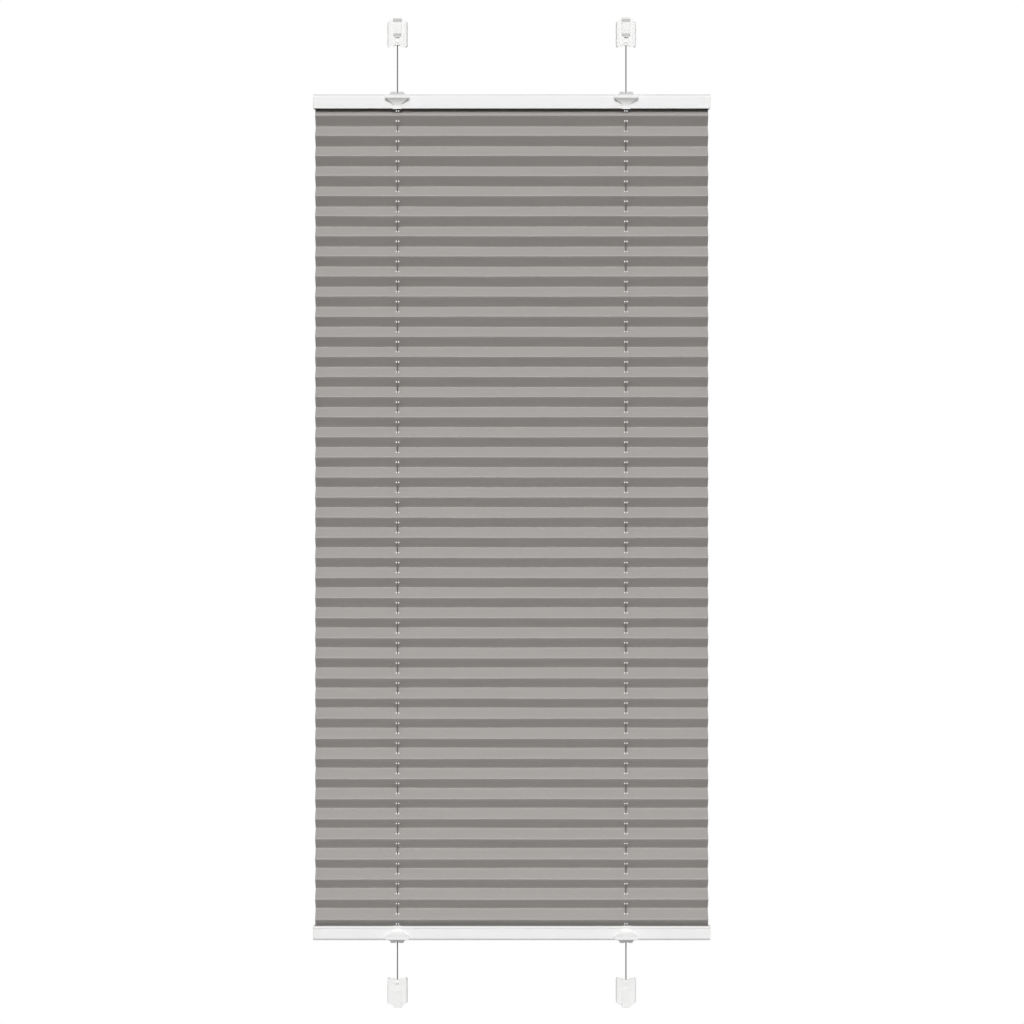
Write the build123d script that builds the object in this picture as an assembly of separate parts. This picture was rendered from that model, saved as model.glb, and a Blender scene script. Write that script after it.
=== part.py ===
from build123d import *
import math
import os

# A pleated blind for one window sash. Two equal rails slide on two taut cords between four clamp
# brackets, and a pleated sheet hangs between the rails. Millimetres, +Z up, and the room is on -Y.
# The origin is the centre of the blind on the room-side face of the sash.

# Overall sizes
BLIND_WIDTH = 400.0
BLIND_HEIGHT = 997.2
CORD_SPACING = 230.4
CORD_DIAMETER = 1.2
CORD_TO_SASH = 12.0
TOP_RAIL_DROP = 91.9
BOTTOM_RAIL_RISE = 82.2

# Rail profile, an open channel with its mouth towards the fabric
RAIL_DEPTH = 20.0
RAIL_HEIGHT = 14.2
RAIL_WALL = 1.2
RAIL_WEB = 1.4
RAIL_CORNER = 2.5
RAIL_MOUTH = 12.6
LIP_THICKNESS = 1.2
BEAD_HEIGHT = 2.6
BEAD_PROUD = 0.5
GROOVE_HEIGHT = 0.8
GROOVE_DEPTH = 0.3
WEB_CHANNEL_WIDTH = 6.0
WEB_CHANNEL_DEPTH = 0.4
RAIL_CORD_HOLE = 3.6

# End caps
CAP_LENGTH = 5.0
CAP_END_WALL = 1.5
CAP_EDGE = 0.8
PLUG_LENGTH = 10.0
PLUG_WALL = 1.4

# Clip strip and cord guides inside a rail
STRIP_THICKNESS = 1.2
STRIP_OVERLAP = 1.3
STRIP_CORD_HOLE = 4.0
GUIDE_LENGTH = 14.0
GUIDE_CORNER = 1.0
GUIDE_SLOT = 3.0
CROSSING_OFFSET = 1.7
CROSSING_LEVEL = 7.6

# Pull grips
GRIP_WIDTH = 24.0
GRIP_NECK = 8.6
GRIP_BOSS = 15.0
GRIP_REACH = 6.2
GRIP_NECK_REACH = 1.0
GRIP_LIP_HEIGHT = 3.6
GRIP_LIP_LEVEL = 10.0
GRIP_HOLLOW = 1.0
GRIP_TOP = 2.7
GRIP_BACK = 5.0
GRIP_TAIL = 0.6
GRIP_THROAT_LEVEL = 4.6
GRIP_THROAT_ROUND = 3.0
GRIP_NOTCH = 4.6
GRIP_CORD_HOLE = 2.4
GRIP_EDGE = 0.5

# Pleated sheet
FABRIC_SIDE_GAP = 2.0
FABRIC_THICKNESS = 0.4
PLEAT_COUNT = 41
PLEAT_FACE = 20.0
END_FOLD_GAP = 6.75
END_TAB = 10.0
FABRIC_CORD_HOLE = 4.2

# Clamp bracket
PLATE_WIDTH = 16.0
PLATE_LENGTH = 22.2
PLATE_THICKNESS = 2.0
PLATE_CORNER = 2.0
ARM_WIDTH = 8.8
ARM_REACH = 24.0
ARM_WEB = 1.8
ARM_FLANGE = 1.5
ARM_FLANGE_HEIGHT = 2.6
GUIDE_NECK_WIDTH = 5.0
GUIDE_NECK_DEPTH = 2.2
GUIDE_HEAD_WIDTH = 9.0
GUIDE_HEAD_DEPTH = 1.6
GUIDE_START = 4.0
GUIDE_SPAN = 18.0

# Tension shoe
SHOE_WIDTH = 20.0
SHOE_SET_BACK = 1.7
SHOE_LENGTH = 27.6
SHOE_FRONT_TO_CORD = 4.0
SHOE_WALL = 1.8
SHOE_ROUND = 1.2
SHOE_CORNER_WIDE = 4.0
SHOE_CORNER_TALL = 3.0
SHOE_FOOT_CORNER = 1.5
SHOE_FOOT = 4.7
NOTCH_WIDE = 6.6
NOTCH_NARROW = 2.0
NOTCH_HEIGHT = 4.3
WINDOW_WIDE = 4.4
WINDOW_NARROW = 2.4
WINDOW_START = 19.5
WINDOW_HEIGHT = 4.4
WINDOW_DEPTH = 2.4
SLEEVE_TO_END = 1.6
SLEEVE_LENGTH = 9.2
KNOB_WIDTH = 8.3
KNOB_PROUD = 2.2
KNOB_LENGTH = 16.0
KNOB_SLOPE = 3.0
KNOB_LIP = 2.4
KNOB_LIP_FACE = 1.4
KNOB_LIP_LENGTH = 4.6
FLANK_WIDTH = 1.9
FLANK_DEPTH = 0.5
BRIDGE_START = 11.0
BRIDGE_HEIGHT = 2.5
BRIDGE_HOLE = 1.9

# Cord stop
STOP_DIAMETER = 4.0
STOP_HEIGHT = 4.4
STOP_BORE = 1.4
CORD_TAIL = 0.6

# Clamp jaw, its screw, nut and pad
SASH_GAP = 16.0
JAW_WIDTH = 16.0
JAW_THICKNESS = 2.0
JAW_LENGTH = 20.0
JAW_CORNER = 3.0
JAW_SHOULDER = 4.5
TAB_WIDTH = 10.0
TAB_START = 8.0
PAD_THICKNESS = 1.5
PAD_WIDTH = 13.0
PAD_LENGTH = 11.0
PAD_TO_JAW_END = 1.0
SCREW_PLACE = 12.0
SCREW_DIAMETER = 3.0
SCREW_HEAD = 5.6
SCREW_HEAD_HEIGHT = 1.3
SCREW_LENGTH = 5.9
SCREW_SINK = 0.1
SCREW_SLOT_WIDTH = 0.8
SCREW_SLOT_DEPTH = 0.6
NUT_SIDE = 5.5
NUT_HEIGHT = 1.8
JAW_TRAVEL_IN = 7.5
JAW_TRAVEL_OUT = 3.0

# Flat sides of the rounds that repeat
SMALL_ROUND_SIDES = 12
HOLE_SIDES = 8
FABRIC_HOLE_SIDES = 6

# Clearances
SEAT_GAP = 0.05
SLIDE_GAP = 0.25
LOOSE_GAP = 0.4
THREAD_GAP = 0.05
SOFT_GAP = 0.3
CUT_PAST = 0.1

# Worked out from the sizes above
HALF_HEIGHT = BLIND_HEIGHT / 2
CORD_X = CORD_SPACING / 2
CORD_Y = -CORD_TO_SASH
CORD_RADIUS = CORD_DIAMETER / 2
TOP_RAIL_Z = HALF_HEIGHT - TOP_RAIL_DROP
BOTTOM_RAIL_Z = -HALF_HEIGHT + BOTTOM_RAIL_RISE
RAIL_LENGTH = BLIND_WIDTH - 2 * CAP_LENGTH
FABRIC_WIDTH = BLIND_WIDTH - 2 * FABRIC_SIDE_GAP
RAIL_HALF_DEPTH = RAIL_DEPTH / 2
INNER_HALF_DEPTH = RAIL_HALF_DEPTH - RAIL_WALL
WEB_UNDERSIDE = RAIL_HEIGHT - RAIL_WEB
STRIP_BOTTOM = LIP_THICKNESS + SEAT_GAP
STRIP_TOP = STRIP_BOTTOM + STRIP_THICKNESS
STRIP_HALF_DEPTH = RAIL_MOUTH / 2 + STRIP_OVERLAP
ARM_TOP = -SHOE_SET_BACK - CUT_PAST
ARM_UNDERSIDE = ARM_TOP - ARM_WEB
SASH_EDGE = ARM_UNDERSIDE - ARM_FLANGE_HEIGHT
SHOE_FRONT = CORD_Y - SHOE_FRONT_TO_CORD
SHOE_INNER_END = -SHOE_SET_BACK - SHOE_LENGTH
JAW_FACE = SASH_GAP + PAD_THICKNESS


def block(x0, x1, y0, y1, z0, z1):
    """A plain rectangular block between two corners."""
    return Pos((x0 + x1) / 2, (y0 + y1) / 2, (z0 + z1) / 2) * Box(x1 - x0, y1 - y0, z1 - z0)


def along_x(outline, x0, x1):
    """A prism along X from an outline of (y, z) points."""
    wire = Wire.make_polygon([(x0, y, z) for y, z in outline])
    return extrude(Face(wire), amount=x1 - x0, dir=(1, 0, 0))


def along_y(outline, y0, y1):
    """A prism along Y from an outline of (x, z) points."""
    wire = Wire.make_polygon([(x, y0, z) for x, z in outline])
    return extrude(Face(wire), amount=y1 - y0, dir=(0, 1, 0))


def post(x, y, radius, z0, z1, sides=SMALL_ROUND_SIDES):
    """A small upright round of a few flat sides, its radius measured to the flats."""
    across = radius / math.cos(math.pi / sides)
    outline = Pos(x, y, z0) * RegularPolygon(across, sides, rotation=180 / sides)
    return extrude(outline, amount=z1 - z0)


def tapered_post(x, y, low_radius, high_radius, z0, z1, sides=SMALL_ROUND_SIDES):
    """The same round with one radius at its lower end and another at its upper end, from flat faces."""
    rings = []
    for radius, z in ((low_radius, z0), (high_radius, z1)):
        across = radius / math.cos(math.pi / sides)
        turns = [math.tau * (n + 0.5) / sides for n in range(sides)]
        rings.append([(x + across * math.cos(t), y + across * math.sin(t), z) for t in turns])
    low, high = rings
    faces = [Face(Wire.make_polygon(low)), Face(Wire.make_polygon(high))]
    for n in range(sides):
        corners = [low[n - 1], low[n], high[n], high[n - 1]]
        faces.append(Face(Wire.make_polygon(corners)))
    return Solid(Shell(faces))


def rail_outside(x0, x1):
    """The outer form of the rail's section: a bead and a groove by the mouth, and rounded far corners."""
    half = RAIL_HALF_DEPTH
    bead = half + BEAD_PROUD
    soft = BEAD_PROUD / 2
    groove = half - GROOVE_DEPTH
    side = [
        (bead - soft, 0),
        (bead, soft),
        (bead, BEAD_HEIGHT - soft),
        (bead - soft, BEAD_HEIGHT),
        (groove, BEAD_HEIGHT),
        (groove, BEAD_HEIGHT + GROOVE_HEIGHT / 2),
        (half, BEAD_HEIGHT + GROOVE_HEIGHT),
        (half, RAIL_HEIGHT),
    ]
    outline = side + [(-y, z) for y, z in reversed(side)]
    body = along_x(outline, x0, x1)
    corners = body.edges().filter_by(Axis.X).group_by(Axis.Z)[-1]
    return fillet(corners, RAIL_CORNER)


def make_rail():
    """The extruded channel. Its mouth is at z = 0 and its web, with the cord holes, is on top."""
    end = RAIL_LENGTH / 2
    cut = end + CUT_PAST
    inside = INNER_HALF_DEPTH
    rail = rail_outside(-end, end)
    rail -= block(-cut, cut, -inside, inside, LIP_THICKNESS, WEB_UNDERSIDE)
    rail -= block(-cut, cut, -RAIL_MOUTH / 2, RAIL_MOUTH / 2, -CUT_PAST, LIP_THICKNESS + CUT_PAST)
    channel = WEB_CHANNEL_WIDTH / 2
    channel_floor = RAIL_HEIGHT - WEB_CHANNEL_DEPTH
    rail -= block(-cut, cut, -channel, channel, channel_floor, RAIL_HEIGHT + CUT_PAST)
    for x in (-CORD_X, CORD_X):
        low, high = WEB_UNDERSIDE - CUT_PAST, RAIL_HEIGHT + CUT_PAST
        rail -= post(x, 0, RAIL_CORD_HOLE / 2, low, high, HOLE_SIDES)
    return rail


def make_end_cap():
    """The cap at +X: a short length of the rail's own outline with an end wall, and a hollow plug."""
    start = RAIL_LENGTH / 2
    end = BLIND_WIDTH / 2
    bead = RAIL_HALF_DEPTH + BEAD_PROUD
    envelope = block(start, end, -bead, bead, 0, RAIL_HEIGHT)
    envelope = chamfer(envelope.faces().sort_by(Axis.X)[-1].edges(), CAP_EDGE)
    cap = rail_outside(start + SEAT_GAP, end) & envelope
    pocket_end = end - CAP_END_WALL
    mouth = RAIL_MOUTH / 2
    strip = STRIP_HALF_DEPTH + LOOSE_GAP
    plug_bottom = STRIP_TOP + LOOSE_GAP
    cap -= block(start, pocket_end, -mouth, mouth, -CUT_PAST, plug_bottom)
    cap -= block(start, pocket_end, -strip, strip, LIP_THICKNESS, plug_bottom)
    outer = INNER_HALF_DEPTH - SLIDE_GAP
    top = WEB_UNDERSIDE - SLIDE_GAP
    plug = block(start - PLUG_LENGTH, start + 2 * SEAT_GAP, -outer, outer, plug_bottom, top)
    hollow = outer - PLUG_WALL
    bottom = plug_bottom + PLUG_WALL
    plug -= block(start - PLUG_LENGTH - CUT_PAST, start, -hollow, hollow, bottom, top - PLUG_WALL)
    return cap + plug


def make_clip_strip():
    """The flat strip that carries the end of the fabric. It lies on the rail's two lips."""
    end = FABRIC_WIDTH / 2 - 2 * SOFT_GAP
    half = STRIP_HALF_DEPTH
    strip = block(-end, end, -half, half, STRIP_BOTTOM, STRIP_TOP)
    for x in (-CORD_X, CORD_X):
        strip -= post(x, 0, STRIP_CORD_HOLE / 2, 0, RAIL_HEIGHT, HOLE_SIDES)
    return strip


def make_cord_guide():
    """A block in the rail where a cord turns: an upright slot, and a tunnel for the crossing stretches."""
    half = GUIDE_LENGTH / 2
    depth = INNER_HALF_DEPTH - SLIDE_GAP
    bottom = STRIP_TOP + 2 * SEAT_GAP
    top = WEB_UNDERSIDE - SLIDE_GAP
    guide = block(-half, half, -depth, depth, bottom, top)
    guide = chamfer(guide.edges().filter_by(Axis.Z), GUIDE_CORNER)
    tunnel = CROSSING_OFFSET + CORD_RADIUS + LOOSE_GAP
    rise = CORD_RADIUS + SLIDE_GAP
    slot = GUIDE_SLOT / 2
    guide -= block(-slot, slot, -tunnel, tunnel, bottom - CUT_PAST, top + CUT_PAST)
    low = CROSSING_LEVEL - rise
    high = CROSSING_LEVEL + rise
    guide -= block(-half - CUT_PAST, half + CUT_PAST, -tunnel, tunnel, low, high)
    return guide


def make_crossing_cord(side):
    """The stretch of a cord that runs inside a rail from one guide to the other."""
    half = (CORD_SPACING + GUIDE_LENGTH / 2) / 2
    run = Rot(Y=90) * post(0, 0, CORD_RADIUS, -half, half)
    return Pos(0, side * CROSSING_OFFSET, CROSSING_LEVEL) * run


def grip_front():
    """The grip seen from the front: a narrow neck that spreads to a wide lip under a domed boss."""
    neck = GRIP_NECK / 2
    wide = GRIP_WIDTH / 2
    boss = GRIP_BOSS / 2
    lip_top = GRIP_LIP_LEVEL + GRIP_LIP_HEIGHT
    crown = RAIL_HEIGHT + GRIP_TOP
    right = [
        (neck, -GRIP_TAIL),
        (neck, GRIP_THROAT_LEVEL),
        (wide, GRIP_LIP_LEVEL),
        (wide, lip_top - GRIP_EDGE),
        (boss, lip_top + GRIP_EDGE),
        (boss - GRIP_TOP / 2, crown),
    ]
    outline = right + [(-x, z) for x, z in reversed(right)]
    face = make_face(Polyline(*outline, close=True))
    throats = face.vertices().filter_by(lambda v: abs(v.Y - GRIP_THROAT_LEVEL) < CUT_PAST)
    return fillet(throats, GRIP_THROAT_ROUND)


def grip_side():
    """The grip seen from its side: it wraps the rail's front and web, and the finger rest is hollowed."""
    front = -RAIL_HALF_DEPTH - SEAT_GAP
    bead = front - BEAD_PROUD
    seat = RAIL_HEIGHT + SEAT_GAP
    crown = RAIL_HEIGHT + GRIP_TOP
    lip = front - GRIP_REACH
    lip_top = GRIP_LIP_LEVEL + GRIP_LIP_HEIGHT
    hollow_start = (lip + GRIP_EDGE / 2, GRIP_LIP_LEVEL)
    hollow_end = (bead - GRIP_NECK_REACH, BEAD_HEIGHT)
    straight = Polyline(
        hollow_end,
        (bead - GRIP_NECK_REACH, -GRIP_TAIL),
        (bead, -GRIP_TAIL),
        (bead, BEAD_HEIGHT + SEAT_GAP),
        (front, BEAD_HEIGHT + GROOVE_HEIGHT),
        (front, seat),
        (GRIP_BACK, seat),
        (GRIP_BACK, crown - GRIP_EDGE),
        (GRIP_BACK - GRIP_EDGE, crown),
        (front, crown),
        (lip + GRIP_EDGE, lip_top),
        (lip, lip_top - GRIP_EDGE),
        (lip, GRIP_LIP_LEVEL + GRIP_EDGE),
        hollow_start,
    )
    hollow = SagittaArc(hollow_start, hollow_end, GRIP_HOLLOW)
    return make_face(straight + hollow)


def make_grip():
    """A pull grip clipped over the rail: a sloping finger rest in front and a cap over the web."""
    solid = extrude(Plane.YZ * grip_side(), amount=GRIP_WIDTH / 2 + CUT_PAST, both=True)
    solid = solid & extrude(Plane.XZ * grip_front(), amount=RAIL_DEPTH, both=True)
    crown = RAIL_HEIGHT + GRIP_TOP
    apex = RAIL_HEIGHT + 2 * GRIP_EDGE
    notch = GRIP_NOTCH / 2
    wedge = [(0, apex), (notch, crown + CUT_PAST), (-notch, crown + CUT_PAST)]
    solid -= along_y(wedge, -RAIL_DEPTH, RAIL_DEPTH)
    solid -= post(0, 0, GRIP_CORD_HOLE / 2, 0, crown + CUT_PAST, HOLE_SIDES)
    return solid


def pleat_path():
    """The fold line of the sheet in (y, z): an end tab under each clip strip and the zigzag between."""
    high = TOP_RAIL_Z - END_FOLD_GAP
    low = BOTTOM_RAIL_Z + END_FOLD_GAP
    pitch = (high - low) / (PLEAT_COUNT - 1)
    half_depth = math.sqrt(PLEAT_FACE**2 - (pitch / 2) ** 2) / 2
    slope = pitch / 2 / (2 * half_depth)
    tab_level = STRIP_BOTTOM - SOFT_GAP - FABRIC_THICKNESS / 2
    bend = CORD_Y - half_depth + (END_FOLD_GAP + tab_level) / slope
    points = [(bend - END_TAB, TOP_RAIL_Z + tab_level), (bend, TOP_RAIL_Z + tab_level)]
    for n in range(PLEAT_COUNT):
        points.append((CORD_Y - half_depth, high - n * pitch))
        points.append((CORD_Y + half_depth, high - (n + 0.5) * pitch))
    points.pop()
    points.append((bend, BOTTOM_RAIL_Z - tab_level))
    points.append((bend - END_TAB, BOTTOM_RAIL_Z - tab_level))
    return points


def thicken(path, thickness):
    """The closed outline of a strip along a path of (y, z) points, with mitred folds."""
    half = thickness / 2
    vectors = [Vector(y, z) for y, z in path]
    normals = []
    for start, end in zip(vectors, vectors[1:]):
        run = (end - start).normalized()
        normals.append(Vector(-run.Y, run.X))
    near, far = [], []
    for n, point in enumerate(vectors):
        before = normals[max(n - 1, 0)]
        after = normals[min(n, len(normals) - 1)]
        middle = (before + after).normalized()
        shift = middle * (half / middle.dot(after))
        near.append((point.X + shift.X, point.Y + shift.Y))
        far.append((point.X - shift.X, point.Y - shift.Y))
    return near + far[::-1]


def make_pleated_fabric():
    """One sheet folded into equal pleats, with a hole through each face for each cord."""
    outline = thicken(pleat_path(), FABRIC_THICKNESS)
    sheet = along_x(outline, -FABRIC_WIDTH / 2, FABRIC_WIDTH / 2)
    high = TOP_RAIL_Z + RAIL_HEIGHT
    low = BOTTOM_RAIL_Z - RAIL_HEIGHT
    holes = []
    for x in (-CORD_X, CORD_X):
        hole = RegularPolygon(FABRIC_CORD_HOLE / 2, FABRIC_HOLE_SIDES)
        holes.append(extrude(Pos(x, CORD_Y, low) * hole, amount=high - low))
    return sheet - holes


def make_cord_run(x):
    """One upright cord line, taut from its stop in the top shoe to its stop in the bottom shoe."""
    end = HALF_HEIGHT - BRIDGE_START + STOP_HEIGHT + CORD_TAIL
    return post(x, CORD_Y, CORD_RADIUS, -end, end)


def make_clamp_bracket():
    """A plate on the face of the sash, an arm over its edge, and a T-shaped guide for the shoe."""
    plate = PLATE_WIDTH / 2
    arm = ARM_WIDTH / 2
    bottom = ARM_TOP - PLATE_LENGTH
    bracket = block(-plate, plate, -PLATE_THICKNESS, 0, bottom, ARM_TOP)
    bracket = chamfer(bracket.edges().filter_by(Axis.Y), PLATE_CORNER)
    bracket += block(-arm, arm, -PLATE_THICKNESS, ARM_REACH, ARM_UNDERSIDE, ARM_TOP)
    inner = arm - ARM_FLANGE
    for side in (-1, 1):
        x0, x1 = sorted((side * inner, side * arm))
        bracket += block(x0, x1, -PLATE_THICKNESS, ARM_REACH, SASH_EDGE, ARM_UNDERSIDE)
    neck_front = -PLATE_THICKNESS - GUIDE_NECK_DEPTH
    head_front = neck_front - GUIDE_HEAD_DEPTH
    neck = GUIDE_NECK_WIDTH / 2
    head = GUIDE_HEAD_WIDTH / 2
    low = -GUIDE_START - GUIDE_SPAN
    bracket += block(-neck, neck, neck_front, -PLATE_THICKNESS, low, -GUIDE_START)
    bracket += block(-head, head, head_front, neck_front, low, -GUIDE_START)
    radius = SCREW_DIAMETER / 2 + LOOSE_GAP
    first = SCREW_PLACE - JAW_TRAVEL_IN - radius
    last = SCREW_PLACE + JAW_TRAVEL_OUT + radius
    slot = block(-radius, radius, first, last, ARM_UNDERSIDE - CUT_PAST, ARM_TOP + CUT_PAST)
    return bracket - chamfer(slot.edges().filter_by(Axis.Z), radius / 2)


def shoe_outline():
    """The shoe seen from the front: cut corners at its outer end and a V-shaped notch at its inner end."""
    wide = SHOE_WIDTH / 2
    top = -SHOE_SET_BACK
    end = SHOE_INNER_END
    right = [
        (wide - SHOE_CORNER_WIDE, top),
        (wide, top - SHOE_CORNER_TALL),
        (wide, end + SHOE_FOOT_CORNER),
        (wide - SHOE_FOOT_CORNER, end),
        (NOTCH_WIDE / 2, end),
        (NOTCH_NARROW / 2, end + NOTCH_HEIGHT),
    ]
    return right + [(-x, z) for x, z in reversed(right)]


def make_tension_shoe():
    """The moulded shoe that holds a cord's end: a hollow box, with a raised knob and a thumb lip in front.

    The cord leaves through a sleeve behind the front wall, and a tapered recess ends on that sleeve.
    """
    wide = SHOE_WIDTH / 2
    back = -PLATE_THICKNESS - SLIDE_GAP
    end = SHOE_INNER_END - CUT_PAST
    shoe = block(-wide, wide, SHOE_FRONT, back, end, 0)
    shoe = fillet(shoe.edges().filter_by(Axis.Z).group_by(Axis.Y)[0], SHOE_ROUND)
    shoe = shoe & along_y(shoe_outline(), SHOE_FRONT - CUT_PAST, back + CUT_PAST)
    knob = KNOB_WIDTH / 2
    groove_in = knob
    groove_out = knob + FLANK_WIDTH
    groove_end = -SHOE_SET_BACK - SHOE_LENGTH + SHOE_FOOT
    for side in (-1, 1):
        x0, x1 = sorted((side * groove_in, side * groove_out))
        floor = SHOE_FRONT + FLANK_DEPTH
        shoe -= block(x0, x1, SHOE_FRONT - CUT_PAST, floor, groove_end, CUT_PAST)
    face = SHOE_FRONT - KNOB_PROUD
    lip = face - KNOB_LIP
    root = SHOE_FRONT + SHOE_WALL / 2
    side_view = [
        (root, -KNOB_LENGTH - KNOB_SLOPE),
        (SHOE_FRONT, -KNOB_LENGTH - KNOB_SLOPE),
        (face, -KNOB_LENGTH),
        (face, -KNOB_LIP_LENGTH),
        (lip, -KNOB_LIP_FACE),
        (lip, -SEAT_GAP),
        (lip + SEAT_GAP, 0),
        (root, 0),
    ]
    shoe += along_x(side_view, -knob, knob)
    chamber_front = SHOE_FRONT + SHOE_WALL
    chamber_back = CORD_Y + (CORD_Y - chamber_front)
    half = CORD_Y - chamber_front + LOOSE_GAP
    bridge_end = -BRIDGE_START - BRIDGE_HEIGHT
    shoe -= block(-half, half, chamber_front, chamber_back, end, bridge_end)
    shoe -= block(-half, half, chamber_front, chamber_back, -BRIDGE_START, CUT_PAST)
    low, high = bridge_end - CUT_PAST, CUT_PAST - BRIDGE_START
    shoe -= post(0, CORD_Y, BRIDGE_HOLE / 2, low, high, HOLE_SIDES)
    foot = SHOE_INNER_END + SHOE_FOOT
    shell = wide - SHOE_WALL
    shoe -= block(-shell, shell, chamber_front, 0, end, foot)
    slot_end = -GUIDE_START + SLIDE_GAP
    neck = GUIDE_NECK_WIDTH / 2 + SLIDE_GAP
    head = GUIDE_HEAD_WIDTH / 2 + SLIDE_GAP
    head_back = -PLATE_THICKNESS - GUIDE_NECK_DEPTH + SLIDE_GAP
    head_front = head_back - GUIDE_HEAD_DEPTH - 2 * SLIDE_GAP
    shoe -= block(-neck, neck, head_back - CUT_PAST, 0, end, slot_end)
    shoe -= block(-head, head, head_front, head_back, end, slot_end)
    sleeve_low = SHOE_INNER_END + SLEEVE_TO_END
    sleeve_high = sleeve_low + SLEEVE_LENGTH
    shoe += block(-half, half, root, chamber_back, sleeve_low, sleeve_high)
    low, high = sleeve_low - CUT_PAST, sleeve_high + CUT_PAST
    shoe -= post(0, CORD_Y, BRIDGE_HOLE / 2, low, high, HOLE_SIDES)
    for side in (-1, 1):
        x0, x1 = sorted((side * (half + SHOE_WALL / 2), side * shell))
        pocket_end = -SHOE_SET_BACK - SHOE_CORNER_TALL - SHOE_WALL / 2
        shoe -= block(x0, x1, chamber_front, head_front - SHOE_WALL / 2, end, pocket_end)
    window_low = -WINDOW_START - WINDOW_HEIGHT
    window = [
        (WINDOW_WIDE / 2, -WINDOW_START),
        (-WINDOW_WIDE / 2, -WINDOW_START),
        (-WINDOW_NARROW / 2, window_low),
        (WINDOW_NARROW / 2, window_low),
    ]
    shoe -= along_y(window, SHOE_FRONT - CUT_PAST, SHOE_FRONT + WINDOW_DEPTH)
    return shoe


def make_cord_stop():
    """A bullet-shaped bead on the end of a cord. It pulls against the bridge in the shoe."""
    radius = STOP_DIAMETER / 2
    low = -BRIDGE_START + SEAT_GAP
    high = low + STOP_HEIGHT
    shoulder = high - radius / 2
    bead = post(0, CORD_Y, radius, low, shoulder)
    bead += tapered_post(0, CORD_Y, radius, radius / 2, shoulder, high)
    return bead - post(0, CORD_Y, STOP_BORE / 2, low - CUT_PAST, high + CUT_PAST)


def make_clamp_jaw():
    """The sliding jaw: a tab on the arm, and a leg behind the sash with a window that the arm passes."""
    wide = JAW_WIDTH / 2
    tab = TAB_WIDTH / 2
    back = JAW_FACE + JAW_THICKNESS
    right = [
        (tab, 0),
        (wide, -JAW_SHOULDER),
        (wide, JAW_CORNER - JAW_LENGTH),
        (wide - JAW_CORNER, -JAW_LENGTH),
    ]
    jaw = along_y(right + [(-x, z) for x, z in reversed(right)], JAW_FACE, back)
    tab_bottom = ARM_TOP + 2 * SEAT_GAP
    jaw += block(-tab, tab, TAB_START, JAW_FACE + JAW_THICKNESS / 2, tab_bottom, 0)
    window = ARM_WIDTH / 2 + LOOSE_GAP
    low = SASH_EDGE - LOOSE_GAP
    jaw -= block(-window, window, JAW_FACE - CUT_PAST, back + CUT_PAST, low, tab_bottom)
    hole = SCREW_DIAMETER / 2 + SLIDE_GAP
    rim = SCREW_HEAD / 2 + SLIDE_GAP
    jaw -= post(0, SCREW_PLACE, hole, tab_bottom - CUT_PAST, CUT_PAST)
    return jaw - tapered_post(0, SCREW_PLACE, hole, rim, -SCREW_HEAD_HEIGHT, 0)


def make_clamp_screw():
    """A countersunk machine screw with a slot, its thread left plain."""
    radius = SCREW_DIAMETER / 2
    neck = -SCREW_SINK - SCREW_HEAD_HEIGHT
    screw = post(0, SCREW_PLACE, radius, -SCREW_LENGTH, neck)
    screw += tapered_post(0, SCREW_PLACE, radius, SCREW_HEAD / 2, neck, -SCREW_SINK)
    half = SCREW_SLOT_WIDTH / 2
    reach = SCREW_HEAD
    y0, y1 = SCREW_PLACE - half, SCREW_PLACE + half
    screw -= block(-reach, reach, y0, y1, -SCREW_SINK - SCREW_SLOT_DEPTH, CUT_PAST)
    return screw


def make_clamp_nut():
    """A square nut that cannot turn between the arm's flanges."""
    half = NUT_SIDE / 2
    top = ARM_UNDERSIDE - SEAT_GAP
    nut = block(-half, half, SCREW_PLACE - half, SCREW_PLACE + half, top - NUT_HEIGHT, top)
    bore = SCREW_DIAMETER / 2 + THREAD_GAP
    return nut - post(0, SCREW_PLACE, bore, top - NUT_HEIGHT - CUT_PAST, top + CUT_PAST)


def make_jaw_pad():
    """The rubber pad on the face of the jaw."""
    half = PAD_WIDTH / 2
    low = -JAW_LENGTH + PAD_TO_JAW_END
    return block(-half, half, SASH_GAP, JAW_FACE, low, low + PAD_LENGTH)


def upper(shape, x, z):
    """Places a piece of the upper half. Its local Z points away from the middle of the blind."""
    return Pos(x, 0, z) * shape


def lower(shape, x, z):
    """Places a piece of the lower half: the same piece turned half round the depth axis."""
    return Pos(x, 0, z) * Rot(Y=180) * shape


pieces = {}

bracket_pieces = {
    "clamp_bracket": make_clamp_bracket(),
    "tension_shoe": make_tension_shoe(),
    "cord_stop": make_cord_stop(),
    "clamp_jaw": make_clamp_jaw(),
    "clamp_screw": make_clamp_screw(),
    "clamp_nut": make_clamp_nut(),
    "jaw_pad": make_jaw_pad(),
}
for name, shape in bracket_pieces.items():
    for side, x in (("left", -CORD_X), ("right", CORD_X)):
        pieces[f"{name}_top_{side}"] = upper(shape, x, HALF_HEIGHT)
        pieces[f"{name}_bottom_{side}"] = lower(shape, x, -HALF_HEIGHT)

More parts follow.
